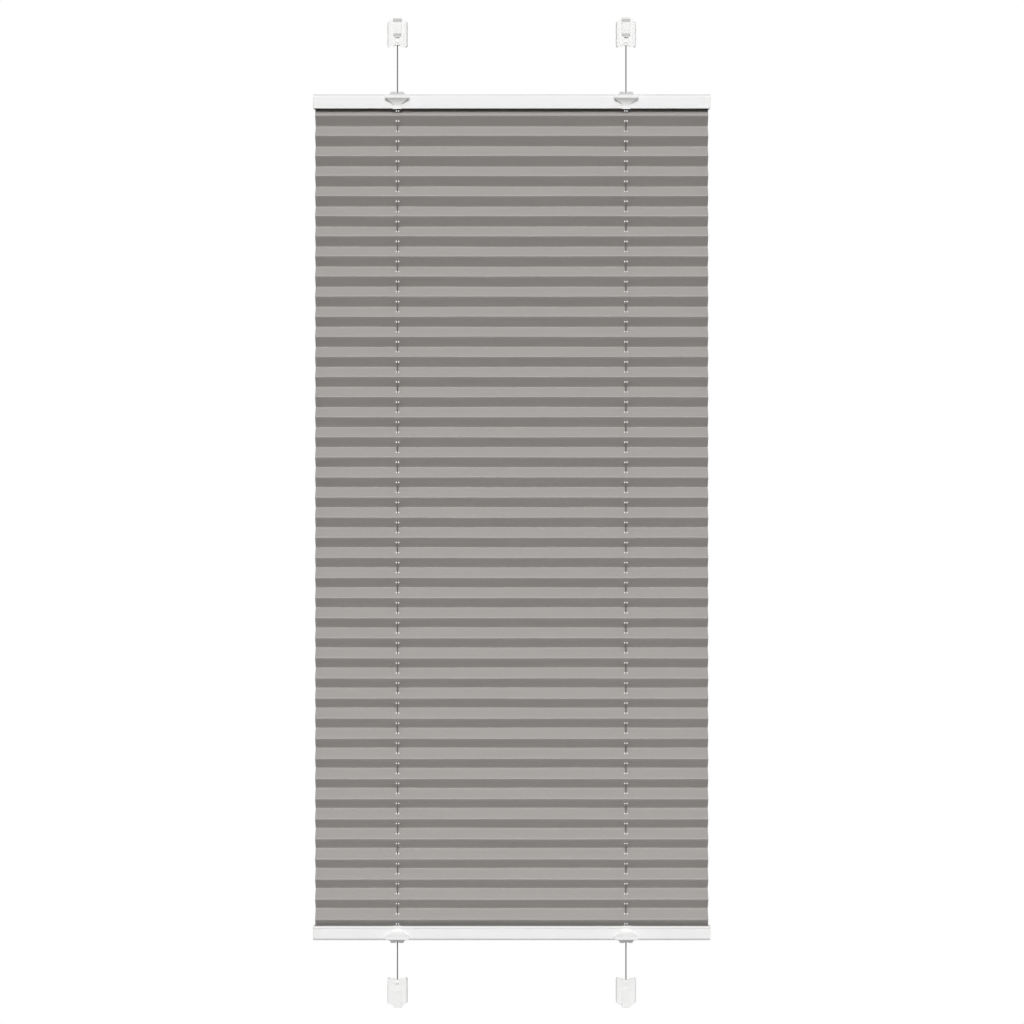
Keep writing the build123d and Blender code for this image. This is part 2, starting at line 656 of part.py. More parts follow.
rail_level = {"top": (upper, TOP_RAIL_Z), "bottom": (lower, BOTTOM_RAIL_Z)}
rail_pieces = {"rail": make_rail(), "clip_strip": make_clip_strip()}
end_cap = make_end_cap()
guide = make_cord_guide()
grip = make_grip()
for level, (place, z) in rail_level.items():
    for name, shape in rail_pieces.items():
        pieces[f"{level}_{name}"] = place(Pos(0, CORD_Y, 0) * shape, 0, z)
    turned = Rot(Z=180) * end_cap
    right_cap, left_cap = (end_cap, turned) if level == "top" else (turned, end_cap)
    pieces[f"{level}_end_cap_left"] = place(Pos(0, CORD_Y, 0) * left_cap, 0, z)
    pieces[f"{level}_end_cap_right"] = place(Pos(0, CORD_Y, 0) * right_cap, 0, z)
    for side, x in (("left", -CORD_X), ("right", CORD_X)):
        pieces[f"{level}_cord_guide_{side}"] = place(Pos(0, CORD_Y, 0) * guide, x, z)
        pieces[f"{level}_grip_{side}"] = place(Pos(0, CORD_Y, 0) * grip, x, z)
    for name, side in (("front", -1), ("back", 1)):
        crossing = Pos(0, CORD_Y, 0) * make_crossing_cord(side)
        pieces[f"{level}_crossing_cord_{name}"] = place(crossing, 0, z)

pieces["cord_run_left"] = make_cord_run(-CORD_X)
pieces["cord_run_right"] = make_cord_run(CORD_X)
pieces["pleated_fabric"] = make_pleated_fabric()

os.makedirs("parts", exist_ok=True)
for name, shape in pieces.items():
    export_step(shape, f"parts/{name}.step")
    print(name, round(shape.volume, 1))
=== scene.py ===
# %% [markdown]
# # A pleated blind, dressed from its solid model
# The blind is a folded sheet between two slim rails. The rails slide on two taut cords, and four clamp
# brackets hold the cords' ends to a window sash. The solid model already gives every hard piece its
# form. Here the cloth and the cords are made again as soft goods, and every surface gets its finish.
# Lengths are in metres, and +Z is up.

import math

import bpy
import numpy as np
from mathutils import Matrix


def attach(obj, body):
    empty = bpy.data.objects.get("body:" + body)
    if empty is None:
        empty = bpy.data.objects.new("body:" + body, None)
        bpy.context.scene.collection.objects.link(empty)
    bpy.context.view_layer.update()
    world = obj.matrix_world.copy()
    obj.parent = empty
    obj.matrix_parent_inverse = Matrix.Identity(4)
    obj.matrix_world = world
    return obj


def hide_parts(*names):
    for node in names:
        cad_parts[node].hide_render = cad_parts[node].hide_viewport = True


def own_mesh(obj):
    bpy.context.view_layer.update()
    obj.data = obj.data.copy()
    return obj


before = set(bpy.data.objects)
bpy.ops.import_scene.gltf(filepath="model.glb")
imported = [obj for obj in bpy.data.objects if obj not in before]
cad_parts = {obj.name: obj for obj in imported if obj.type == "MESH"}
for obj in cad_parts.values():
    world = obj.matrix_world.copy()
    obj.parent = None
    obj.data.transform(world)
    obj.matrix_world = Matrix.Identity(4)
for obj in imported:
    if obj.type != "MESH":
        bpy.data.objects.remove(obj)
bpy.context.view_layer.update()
print("pieces in the solid model:", len(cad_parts))

# %% [markdown]
# ## The camera
# The photograph was taken square on from a long way off, because near and far folds differ in size by
# only a third of a percent. A long lens at 5.2 metres gives that flat look. The camera stands level with
# the middle of the blind, so the picture is framed with no shift.

# %% Set the camera
PICTURE_WIDTH = 1.0307
CAMERA_DISTANCE = 5.2
RAIL_FRONT = -0.022

camera = bpy.data.objects.new("camera", bpy.data.cameras.new("camera"))
camera.data.sensor_width = 36
camera.data.lens = camera.data.sensor_width * CAMERA_DISTANCE / PICTURE_WIDTH
camera.location = (0.0003, RAIL_FRONT - CAMERA_DISTANCE, 0.0005)
camera.rotation_euler = (math.radians(90), 0, 0)
camera.data.clip_end = 60
bpy.context.scene.collection.objects.link(camera)
bpy.context.scene.camera = camera
print("lens:", round(camera.data.lens, 1), "mm")

# %% [markdown]
# ## From arrays to a mesh
# Every new piece is a surface worked out with numpy: an array of points and an array of four-sided
# faces. One helper hands both to Blender. It also stores a flat map, in metres, so that a weave or a
# braid can follow the surface at its true size. Edges sharper than a chosen angle stay crisp.


# %% Hand arrays to Blender
def mesh_piece(name, points, faces, flat=None, crisp_degrees=40):
    """An object from points (n, 3) and faces (m, 4). The flat map takes its two lengths from (n, 2)."""
    mesh = bpy.data.meshes.new(name)
    mesh.vertices.add(len(points))
    mesh.vertices.foreach_set("co", np.ascontiguousarray(points, np.float32).ravel())
    mesh.loops.add(faces.size)
    mesh.loops.foreach_set("vertex_index", faces.ravel().astype(np.int32))
    mesh.polygons.add(len(faces))
    mesh.polygons.foreach_set("loop_start", np.arange(0, faces.size, 4, dtype=np.int32))
    mesh.update(calc_edges=True)
    mesh.validate()
    if flat is not None:
        layer = mesh.uv_layers.new(name="flat")
        layer.data.foreach_set("uv", flat[faces.ravel()].astype(np.float32).ravel())
    mesh.polygons.foreach_set("use_smooth", np.ones(len(mesh.polygons), bool))
    mesh.set_sharp_from_angle(angle=math.radians(crisp_degrees))
    piece = bpy.data.objects.new(name, mesh)
    bpy.context.scene.collection.objects.link(piece)
    return piece


def grid_faces(rows, columns, wrap=False):
    """The faces between neighbours on a grid of points. With wrap, the last column meets the first."""
    number = np.arange(rows * columns).reshape(rows, columns)
    if wrap:
        number = np.hstack([number, number[:, :1]])
    a, b = number[:-1, :-1], number[:-1, 1:]
    c, d = number[1:, 1:], number[1:, :-1]
    return np.stack([a, b, c, d], axis=-1).reshape(-1, 4)


def enclosed_volume(points, faces):
    """The signed volume inside a closed mesh: the sum of tetrahedra from the origin to each face."""
    corner = points[faces]
    first = np.cross(corner[:, 1], corner[:, 2])
    second = np.cross(corner[:, 2], corner[:, 3])
    return float(np.sum(corner[:, 0] * (first + second)) / 6)


def facing_out(points, faces):
    """The faces of a closed mesh, turned round if they point inwards."""
    return faces if enclosed_volume(points, faces) > 0 else faces[:, ::-1]


print("mesh helpers ready")

# %% [markdown]
# ## The cords
# Each cord is a braided polyester line 1.2 mm thick. It is held taut between the shoes, so both upright
# runs are straight, and inside each rail it crosses over to the other side. A cord could be a curve with
# a bevel, but a tube worked out from the route's own smooth line carries a flat map, and the braid
# follows that. Its ends are closed with a small dome.

# %% Lay out the cords' routes
CORD_X = 0.1152
CORD_Y = -0.012
CORD_WIDTH = 0.0012
CORD_END = 0.4926
CROSSING_HALF = 0.1187
CROSSING_OFFSET = 0.0017
TOP_CROSSING_Z = 0.4143
BOTTOM_CROSSING_Z = -0.424


def route_line(name, route):
    """The points of a smooth line through a route, as a spline of order 3 gives them."""
    curve = bpy.data.curves.new(name, "CURVE")
    curve.dimensions = "3D"
    curve.resolution_u = 16
    spline = curve.splines.new("NURBS")
    spline.points.add(len(route) - 1)
    spline.points.foreach_set("co", np.c_[route, np.ones(len(route))].ravel())
    spline.order_u = 3
    spline.use_endpoint_u = True
    holder = bpy.data.objects.new(name, curve)
    bpy.context.scene.collection.objects.link(holder)
    mesh = bpy.data.meshes.new_from_object(holder)
    line = np.zeros(len(mesh.vertices) * 3)
    mesh.vertices.foreach_get("co", line)
    bpy.data.objects.remove(holder)
    bpy.data.meshes.remove(mesh)
    return line.reshape(-1, 3)


def cord_tube(name, line, width, around=14, step=0.004):
    """A tube round a line: point plus radius times (cos turn, sin turn) across it, its ends domed."""
    run = np.r_[0, np.cumsum(np.linalg.norm(np.diff(line, axis=0), axis=1))]
    length = run[-1]
    radius = width / 2
    dome = radius * np.array([0.0, 0.1, 0.35, 0.7])
    middle = np.linspace(radius, length - radius, max(2, int(length / step)))
    along = np.r_[dome, middle, length - dome[::-1]]
    depth = np.minimum(np.minimum(along, length - along) / radius, 1)
    swell = radius * np.sqrt(np.maximum(1 - (1 - depth) ** 2, 1e-4))
    centre = np.stack([np.interp(along, run, line[:, k]) for k in range(3)], axis=-1)
    forward = np.gradient(centre, axis=0)
    forward /= np.linalg.norm(forward, axis=1)[:, None]
    helper = np.array([0.0, 1.0, 0.0]) if abs(forward[0][1]) < 0.9 else np.array([1.0, 0, 0])
    across = np.cross(forward, helper)
    across /= np.linalg.norm(across, axis=1)[:, None]
    upward = np.cross(across, forward)
    turn = np.linspace(0, math.tau, around + 1)
    ring = np.cos(turn)[None, :, None] * across[:, None] + np.sin(turn)[None, :, None] * upward[:, None]
    points = (centre[:, None] + swell[:, None, None] * ring).reshape(-1, 3)
    flat = np.stack(np.broadcast_arrays(turn[None] * radius, along[:, None]), axis=-1).reshape(-1, 2)
    faces = grid_faces(len(along), around + 1)
    points, faces, flat = close_tube(points, faces, flat, len(along), around + 1)
    return mesh_piece(name, points, facing_out(points, faces), flat)


def close_tube(points, faces, flat, rows, columns):
    """Merges the seam's two columns and fans each open end to its centre, in four-sided faces."""
    number = np.arange(rows * columns).reshape(rows, columns)
    target = np.arange(rows * columns)
    target[number[:, -1]] = number[:, 0]
    faces = target[faces]
    centres = [points[number[0, :-1]].mean(0), points[number[-1, :-1]].mean(0)]
    points = np.vstack([points, centres])
    flat = np.vstack([flat, flat[[0, -1]]])
    half = (columns - 1) // 2
    start = np.arange(half) * 2
    fans = []
    for row, centre in ((0, len(points) - 2), (rows - 1, len(points) - 1)):
        loop = number[row, :-1]
        fan = [loop[start], loop[(start + 1) % len(loop)], loop[(start + 2) % len(loop)]]
        fan = np.stack([np.full(half, centre)] + fan, axis=-1)
        fans.append(fan[:, ::-1] if row == 0 else fan)
    faces = np.vstack([faces] + fans)
    used, compact = np.unique(faces, return_inverse=True)
    return points[used], compact.reshape(faces.shape), flat[used]


cords = {}
for side, x in (("left", -CORD_X), ("right", CORD_X)):
    route = np.array([[x, CORD_Y, CORD_END], [x, CORD_Y, 0], [x, CORD_Y, -CORD_END]])
    cords[f"cord_run_{side}"] = (route, "mounting_and_cords")
for level, z in (("top", TOP_CROSSING_Z), ("bottom", BOTTOM_CROSSING_Z)):
    for name, offset in (("front", -CROSSING_OFFSET), ("back", CROSSING_OFFSET)):
        y = CORD_Y + offset
        route = np.array([[-CROSSING_HALF, y, z], [0, y, z], [CROSSING_HALF, y, z]])
        cords[f"{level}_crossing_cord_{name}"] = (route, f"{level}_rail")
cord_pieces = []
for node, (route, body) in cords.items():
    line = route_line(f"{node}_route", route)
    braid = cord_tube(f"braided_{node}", line, CORD_WIDTH)
    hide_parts(node)
    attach(braid, body)
    length = float(np.sum(np.linalg.norm(np.diff(line, axis=0), axis=1)))
    path = [tuple(point) for point in line]
    cord_pieces.append(braid)
    print(node, "is", round(length, 4), "m long")

# %% [markdown]
# ## The line that the pleats follow
# The sheet is one strip of cloth, creased every 20 mm. Seen from the side it is a zigzag with a short
# radius at each crease, and each end lies flat in its rail. The path is worked out once as a table:
# distance along the cloth, place, and direction. Creases are arcs that touch both straight runs.

# %% Work out the pleats' path
PLEATS = 41
TOP_RAIL_Z = 0.4067
BOTTOM_RAIL_Z = -0.4164
END_FOLD_GAP = 0.00675
TAB_LEVEL = 0.00075
TAB_LENGTH = 0.010
FACE_LENGTH = 0.020
PITCH = (TOP_RAIL_Z - BOTTOM_RAIL_Z - 2 * END_FOLD_GAP) / (PLEATS - 1)
HALF_DEPTH = math.sqrt(FACE_LENGTH**2 - (PITCH / 2) ** 2) / 2
CREASE_RADIUS = 0.00045
TAB_RADIUS = 0.0002


def pleat_corners():
    """The corners (y, z) of the zigzag: front and back creases in turn, and a flat tab at each end."""
    high, low = TOP_RAIL_Z - END_FOLD_GAP, BOTTOM_RAIL_Z + END_FOLD_GAP
    slope = PITCH / 4 / HALF_DEPTH
    bend = CORD_Y - HALF_DEPTH + (END_FOLD_GAP + TAB_LEVEL) / slope
    step = np.arange(2 * PLEATS - 1)
    y = CORD_Y + HALF_DEPTH * np.where(step % 2 == 0, -1, 1)
    z = high - step * PITCH / 2
    top = [[bend - TAB_LENGTH, TOP_RAIL_Z + TAB_LEVEL], [bend, TOP_RAIL_Z + TAB_LEVEL]]
    bottom = [[bend, BOTTOM_RAIL_Z - TAB_LEVEL], [bend - TAB_LENGTH, BOTTOM_RAIL_Z - TAB_LEVEL]]
    return np.vstack([top, np.c_[y, z], bottom])


def rounded_path(corners, radius, samples=9):
    """The zigzag with an arc at each corner: centre plus radius times (cos, sin), swept over the turn."""
    radius = radius[:, None]
    before = corners[1:-1] - corners[:-2]
    after = corners[2:] - corners[1:-1]
    before /= np.linalg.norm(before, axis=1)[:, None]
    after /= np.linalg.norm(after, axis=1)[:, None]
    turn = np.arctan2(before[:, 0] * after[:, 1] - before[:, 1] * after[:, 0], np.sum(before * after, 1))
    reach = radius * np.tan(np.abs(turn) / 2)[:, None]
    normal = np.sign(turn)[:, None] * np.c_[-before[:, 1], before[:, 0]]
    centre = corners[1:-1] - before * reach + normal * radius
    sweep = turn[:, None] * np.linspace(0, 1, samples)
    spoke = -(normal * radius)[:, None]
    x = spoke[..., 0] * np.cos(sweep) - spoke[..., 1] * np.sin(sweep)
    y = spoke[..., 0] * np.sin(sweep) + spoke[..., 1] * np.cos(sweep)
    arcs = centre[:, None] + np.stack([x, y], axis=-1)
    return np.vstack([corners[:1], arcs.reshape(-1, 2), corners[-1:]]), samples


corners = pleat_corners()
crease_radius = np.full(len(corners) - 2, CREASE_RADIUS)
crease_radius[[0, -1]] = TAB_RADIUS
path, arc_samples = rounded_path(corners, crease_radius)
path_run = np.r_[0, np.cumsum(np.linalg.norm(np.diff(path, axis=0), axis=1))]
heading = np.gradient(path, path_run, axis=0)
heading /= np.linalg.norm(heading, axis=1)[:, None]
path_normal = np.c_[-heading[:, 1], heading[:, 0]]
arc_run = path_run[1:-1].reshape(-1, arc_samples)
crease_run = arc_run[:, arc_samples // 2]
print("cloth length:", round(path_run[-1], 4), "m, creases:", len(crease_run))

# %% [markdown]
# ## The cloth as a surface
# A point on the cloth has two numbers: how far along the strip, and how far across. The path gives its
# place, and small waves are added, because real pleats are never quite flat: each face bows a little
# between its creases, and each crease wanders by a tenth of a millimetre. The waves are sums of sines
# with fixed phases, so the cloth comes out the same each time.

# %% Define the cloth surface
CLOTH_HALF_WIDTH = 0.198
CLOTH_THICKNESS = 0.0004
BOW = 0.00022
WANDER = 0.00012
CALM_END = 0.03
CALM_FADE = 0.02
dice = np.random.default_rng(41)
wave_counts = np.array([1.3, 2.9, 5.3])
crease_phase = dice.uniform(0, math.tau, (len(crease_run), 3, 2))
face_phase = dice.uniform(0, math.tau, (len(crease_run) + 1, 3))


def crease_shift(crease, across):
    """How far a crease wanders in (y, z): a sum of three sines along its width, fixed for each crease."""
    angle = math.tau * wave_counts * (across[..., None] / (2 * CLOTH_HALF_WIDTH))
    phase = crease_phase[crease]
    waves = np.sin(angle[..., None] + phase) / wave_counts[:, None]
    return WANDER * waves.sum(-2)


def cloth_point(along, across, side):
    """Path place + thickness along the normal + the creases' wander + a bow of sine of the face."""
    place = np.stack([np.interp(along, path_run, path[:, k]) for k in range(2)], axis=-1)
    normal = np.stack([np.interp(along, path_run, path_normal[:, k]) for k in range(2)], axis=-1)
    normal /= np.linalg.norm(normal, axis=-1)[..., None]
    after = np.clip(np.searchsorted(crease_run, along), 1, len(crease_run) - 1)
    share = (along - crease_run[after - 1]) / (crease_run[after] - crease_run[after - 1])
    share = np.clip(share, 0, 1)
    wander = crease_shift(after - 1, across) * (1 - share)[..., None]
    wander += crease_shift(after, across) * share[..., None]
    at_rails = np.minimum(along, path_run[-1] - along)
    wander *= np.clip((at_rails - CALM_END) / CALM_FADE, 0, 1)[..., None]
    angle = math.tau * wave_counts * (across[..., None] / (2 * CLOTH_HALF_WIDTH))
    ripple = 0.6 + 0.5 * np.sin(angle + face_phase[after]).mean(-1)
    sign = np.where(after % 2 == 0, -1, 1)
    bow = BOW * ripple * sign * np.sin(np.pi * share) * (share > 0) * (share < 1)
    place = place + wander + normal * (side * CLOTH_THICKNESS / 2 + bow)[..., None]
    return np.stack([across + 0 * along, place[..., 0], place[..., 1]], axis=-1)


print("crease wander up to", round(WANDER * 1000 * float((1 / wave_counts).sum()), 2), "mm")

# %% [markdown]
# ## Punched holes
# Each cord passes through a round hole punched in the middle of every face. Cutting 164 holes with a
# boolean would leave long thin triangles, so the grid makes room for them: a block of four by four cells
# is left out round each hole, and rings of faces lead from the block's border to the hole's edge.

# %% Weave the grid round the holes
HOLE_RADIUS = 0.0020
BLOCK_HALF = 0.0036
END_BLOCK_HALF = 0.0028
RINGS = (0.0024, HOLE_RADIUS)
BLOCK_CELLS = 4


def cloth_rows():
    """Rows along the cloth: nine on each straight run, with five across its hole, and three on each crease.

    A hole's centre is where the run passes the cord: start + length * (cord - start) / (end - start).
    """
    start, end = np.r_[0, arc_run[:, -1]], np.r_[arc_run[:, 0], path_run[-1]]
    start_y, end_y = (np.interp(run, path_run, path[:, 0]) for run in (start, end))
    hole = start + (end - start) * (CORD_Y - start_y) / (end_y - start_y)
    half = np.full(len(hole), BLOCK_HALF)
    half[[0, 1, -2, -1]] = END_BLOCK_HALF
    block = hole[:, None] + half[:, None] * np.linspace(-1, 1, BLOCK_CELLS + 1)
    before, after = (start + block[:, 0]) / 2, (end + block[:, -1]) / 2
    runs = np.c_[start, before, block, after, end]
    on_crease = arc_run[:, [2, 4, 6]]
    rows = np.r_[np.c_[runs[:-1], on_crease].ravel(), runs[-1]]
    return rows, hole, runs.shape[1] + on_crease.shape[1]


def cloth_columns():
    """Grid columns: even steps, with five columns across each cord's holes."""
    left = -CORD_X + np.linspace(-BLOCK_HALF, BLOCK_HALF, BLOCK_CELLS + 1)
    inner = np.linspace(left[-1], -left[-1], 23)[1:-1]
    outer = np.linspace(-CLOTH_HALF_WIDTH, left[0], 9)[:-1]
    return np.r_[outer, left, inner, -left[::-1], -outer[::-1]]


def block_border(cells):
    """Row and column steps round the border of a square block, once round in order."""
    run = np.arange(cells)
    row = np.r_[run * 0, run, run * 0 + cells, cells - run]
    column = np.r_[run, run * 0 + cells, cells - run, run * 0]
    return row, column


def cloth_part(name, rows, hole_rows, hole_runs):
    """A closed shell: the cloth's two faces, their outer border and the walls of the holes."""
    columns = cloth_columns()
    hole_columns = np.searchsorted(columns, [-CORD_X - BLOCK_HALF - 1e-6, CORD_X - BLOCK_HALF - 1e-6])
    count = (len(rows), len(columns))
    number = np.arange(count[0] * count[1]).reshape(count)
    along, across = np.meshgrid(rows, columns, indexing="ij")
    keep = np.ones((count[0] - 1, count[1] - 1), bool)
    row0, column0 = np.repeat(hole_rows, 2), np.tile(hole_columns, len(hole_rows))
    cell = np.arange(BLOCK_CELLS)
    keep[row0[:, None, None] + cell[:, None], column0[:, None, None] + cell] = False
    faces = grid_faces(*count)[keep.ravel()]
    step_row, step_column = block_border(BLOCK_CELLS)
    loop = number[row0[:, None] + step_row, column0[:, None] + step_column]
    turn = np.arctan2(step_row - BLOCK_CELLS / 2, step_column - BLOCK_CELLS / 2)
    centre = np.c_[np.repeat(hole_runs, 2), np.tile([-CORD_X, CORD_X], len(hole_runs))]
    all_along, all_across = [along.ravel()], [across.ravel()]
    start = number.size
    for radius in RINGS:
        all_along.append((centre[:, :1] + radius * np.sin(turn)).ravel())
        all_across.append((centre[:, 1:] + radius * np.cos(turn)).ravel())
        ring = start + np.arange(loop.size).reshape(loop.shape)
        quads = [loop, np.roll(loop, -1, axis=1), np.roll(ring, -1, axis=1), ring]
        faces = np.vstack([faces, np.stack(quads, axis=-1).reshape(-1, 4)])
        loop, start = ring, start + ring.size
    along, across = np.concatenate(all_along), np.concatenate(all_across)
    border = np.r_[number[0, :-1], number[:-1, -1], number[-1, :0:-1], number[:0:-1, 0]]
    edge_from = np.r_[border, np.roll(loop, -1, axis=1).ravel()]
    edge_to = np.r_[np.roll(border, -1), loop.ravel()]
    points = np.vstack([cloth_point(along, across, side) for side in (1, -1)])
    back = len(along)
    walls = np.stack([edge_to, edge_from, edge_from + back, edge_to + back], axis=-1)
    faces = np.vstack([faces, faces[:, ::-1] + back, walls])
    flat = np.tile(np.c_[across, along], (2, 1))
    used, compact = np.unique(faces, return_inverse=True)
    points, faces, flat = points[used], compact.reshape(faces.shape), flat[used]
    return mesh_piece(name, points, facing_out(points, faces), flat, 50)


def cloth_between(name, first, last):
    """The cloth from one crease to another. None stands for the sheet's own end."""
    start = 0 if first is None else rows_a_pleat * (first + 1) - 2
    stop = len(rows) if last is None else rows_a_pleat * (last + 1) - 1
    runs = slice(0 if first is None else first + 1, None if last is None else last + 1)
    return cloth_part(name, rows[start:stop], hole_row[runs] - start, hole_run[runs])


rows, hole_run, rows_a_pleat = cloth_rows()
hole_row = np.arange(len(hole_run)) * rows_a_pleat + 2
FIRST, MIDDLE, LAST = 1, PLEATS, 2 * PLEATS - 1
end_top = cloth_between("pleats_end_top", None, FIRST)
cloth_top = cloth_between("pleats_top", FIRST, MIDDLE)
cloth_bottom = cloth_between("pleats_bottom", MIDDLE, LAST)
end_bottom = cloth_between("pleats_end_bottom", LAST, None)
cloth_parts = (end_top, cloth_top, cloth_bottom, end_bottom)
for cloth in cloth_parts:
    print(cloth.name, "has", len(cloth.data.polygons), "faces")

# %% [markdown]
# ## How the cloth moves
# Either rail can be slid, and then the pleats close up. The sheet's two ends are clipped into the rails,
# so each end, up to its first front crease, travels with its rail and keeps its slope. Pressed flat, it
# would be drawn up into the rail's mouth. The cloth between is made in two halves that meet at the
# middle crease, each with a mesh of its own, and for each half the share of its height that is left
# once its rail has slid all the way is worked out and printed.

# %% Tie the cloth to the rails
RAIL_TRAVEL = 0.385
middle_z = float(path[np.searchsorted(path_run, crease_run[MIDDLE])][1])
strips = ["top_clip_strip", "bottom_clip_strip"]
runs = (
    (end_top, "top_rail", crease_run[FIRST], strips[:1]),
    (cloth_top, "mounting_and_cords", crease_run[MIDDLE] - crease_run[FIRST], strips),
    (cloth_bottom, "mounting_and_cords", crease_run[LAST] - crease_run[MIDDLE], strips),
    (end_bottom, "bottom_rail", path_run[-1] - crease_run[LAST], strips[1:]),
)
for cloth, body, length, holders in runs:
    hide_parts("pleated_fabric")
    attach(cloth, body)
halves = ((cloth_top, "top_rail_slide", FIRST), (cloth_bottom, "bottom_rail_slide", LAST))
for cloth, joint, crease in halves:
    height = abs(float(np.interp(crease_run[crease], path_run, path[:, 1])) - middle_z)
    keep = (height - RAIL_TRAVEL) / height
    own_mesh(cloth)
    print(cloth.name, "keeps", round(keep, 4), "of its height")

# %% [markdown]
# ## Shader sums
# A finish is a small sum: a colour that is a little uneven, a roughness that varies, a bump at the true
# scale of the grain. One class wraps a socket, so that such sums can be written as sums, and one
# method adds any other node from its type, its settings and its values.


# %% Write shader maths as sums
class Signal:
    """A value that varies over a surface. Sums and products with it add Math nodes."""

    def __init__(self, finish, socket):
        self.finish = finish
        self.socket = socket

    def math(self, operation, *values):
        return self.finish.node("ShaderNodeMath", {"operation": operation}, values)

    def __add__(self, other):
        return self.math("ADD", self, other)

    def __sub__(self, other):
        return self.math("SUBTRACT", self, other)

    def __rsub__(self, other):
        return self.math("SUBTRACT", other, self)

    def __mul__(self, other):
        return self.math("MULTIPLY", self, other)

    __radd__ = __add__
    __rmul__ = __mul__


class Finish:
    """A material under construction: a Principled shader and the nodes that feed it."""

    def __init__(self, name, **constants):
        self.material = bpy.data.materials.new(name)
        self.material.use_nodes = True
        self.nodes = self.material.node_tree.nodes
        self.links = self.material.node_tree.links
        self.shader = self.nodes["Principled BSDF"]
        for key, value in constants.items():
            self.shader.inputs[key.replace("_", " ")].default_value = value

    def node(self, kind, settings=None, values=(), output=0):
        """Adds a node: its type, its settings, then the values or links of its sockets."""
        made = self.nodes.new(kind)
        for key, value in (settings or {}).items():
            setattr(made, key, value)
        pairs = values.items() if isinstance(values, dict) else enumerate(values)
        for key, value in pairs:
            if isinstance(value, Signal):
                self.links.new(value.socket, made.inputs[key])
            else:
                made.inputs[key].default_value = value
        return Signal(self, made.outputs[output])

    def feed(self, socket, signal):
        """Leads a signal into a socket of the shader."""
        self.links.new(signal.socket, self.shader.inputs[socket])

    def place(self, scale=(1, 1, 1), source="Object"):
        """The surface's own coordinates in metres, stretched by a scale."""
        start = self.node("ShaderNodeTexCoord", output=source)
        return self.node("ShaderNodeMapping", values={"Vector": start, "Scale": scale})

    def noise(self, place, scale, detail=2.0, roughness=0.5):
        """Soft noise from 0 to 1 with so many lumps to a metre."""
        values = {"Vector": place, "Scale": scale, "Detail": detail, "Roughness": roughness}
        return self.node("ShaderNodeTexNoise", values=values)

    def blend(self, factor, first, second):
        """One colour where the factor is 0 and another where it is 1."""
        settings = {"data_type": "RGBA"}
        return self.node("ShaderNodeMix", settings, {0: factor, 6: first, 7: second}, output=2)

    def relief(self, height, metres):
        """Leads a height from 0 to 1, worth so many metres, into the shader's normal."""
        values = {"Height": height, "Distance": metres, "Strength": 1.0}
        self.feed("Normal", self.node("ShaderNodeBump", values=values))


def shade(value, warmth=(1.0, 1.0, 1.0)):
    """A colour from one screen value of 0 to 1, made linear, with a tint."""
    linear = ((value + 0.055) / 1.055) ** 2.4
    return (linear * warmth[0], linear * warmth[1], linear * warmth[2], 1)


print("shader helpers ready")

# %% [markdown]
# ## The cloth's finish
# The cloth is a matt polyester in warm grey. Its threads are a third of a millimetre apart, so from
# across a room they only make the surface soft. Warp and weft are two sets of fine ridges on the flat
# map, and threads differ a little in thickness and shade. A light sheen gives the soft edge that woven
# cloth shows when light grazes it.

# %% Finish the cloth
THREADS_TO_A_METRE = 3000
cloth_warmth = (1.0, 0.958, 0.925)
cloth_finish = Finish("pleated_polyester", Sheen_Weight=0.15, Sheen_Roughness=0.6, Specular_IOR_Level=0.3)
strip = cloth_finish.place(source="UV")
apart = cloth_finish.node("ShaderNodeSeparateXYZ", values={0: strip})
lengthwise = Signal(cloth_finish, apart.socket.node.outputs[1])
turns = math.tau * THREADS_TO_A_METRE
warp = (apart * turns).math("SINE", apart * turns)
weft = (lengthwise * turns).math("SINE", lengthwise * turns)
thread = warp * weft * 0.25 + 0.5
slub = cloth_finish.noise(cloth_finish.place((12, 240, 1), "UV"), 6, 3.0)
patch = cloth_finish.noise(cloth_finish.place((9, 40, 1), "UV"), 2, 2.0)
tone = slub * 0.5 + patch * 0.5
cloth_light, cloth_dark = shade(0.735, cloth_warmth), shade(0.70, cloth_warmth)
cloth_finish.feed("Base Color", cloth_finish.blend(tone, cloth_dark, cloth_light))
cloth_finish.feed("Roughness", tone * 0.12 + 0.78)
cloth_finish.relief(thread + slub * 0.6, 0.00006)
for cloth in cloth_parts:
    cloth.data.materials.append(cloth_finish.material)
print("cloth nodes:", len(cloth_finish.nodes))

# %% [markdown]
# ## The cords' finish
# A braid is two sets of strands that run round the cord in opposite directions. On the flat map each
# set is a wave along one diagonal, and where both are high a strand lies on top. Those tops get a
# painted highlight, a lighter grey, and a fine fleck varies the tone at random. The cord is a mid grey:
# against the white backdrop it reads as a dark line, and in the cloth's valleys it nearly disappears.

# %% Finish the cords
STRAND_LENGTH = 0.0016
STRANDS_AROUND = 4
braid_finish = Finish("braided_cord", Specular_IOR_Level=0.15)
wrap = braid_finish.node("ShaderNodeSeparateXYZ", values={0: braid_finish.place(source="UV")})
cord_run = Signal(braid_finish, wrap.socket.node.outputs[1])
around = wrap * (STRANDS_AROUND / (CORD_WIDTH / 2))
forward = cord_run * (math.tau / STRAND_LENGTH)
left_lay = (around + forward).math("SINE", around + forward)
right_lay = (around - forward).math("SINE", around - forward)
strand = left_lay * right_lay * 0.5 + 0.5
fleck = braid_finish.noise(braid_finish.place(source="UV"), 900, 2.0)
# Painted highlight: the raised strand tops get the lighter grey; the fleck is random tone.
painted_strand_highlight_and_fleck = strand * 0.6 + fleck * 0.4
braid_finish.feed("Base Color", braid_finish.blend(painted_strand_highlight_and_fleck, shade(0.40), shade(0.52)))
braid_finish.feed("Roughness", fleck * 0.2 + 0.6)
braid_finish.relief(strand, 0.00008)
for braid in cord_pieces:
    braid.data.materials.append(braid_finish.material)
print("cords finished:", len(cord_pieces))

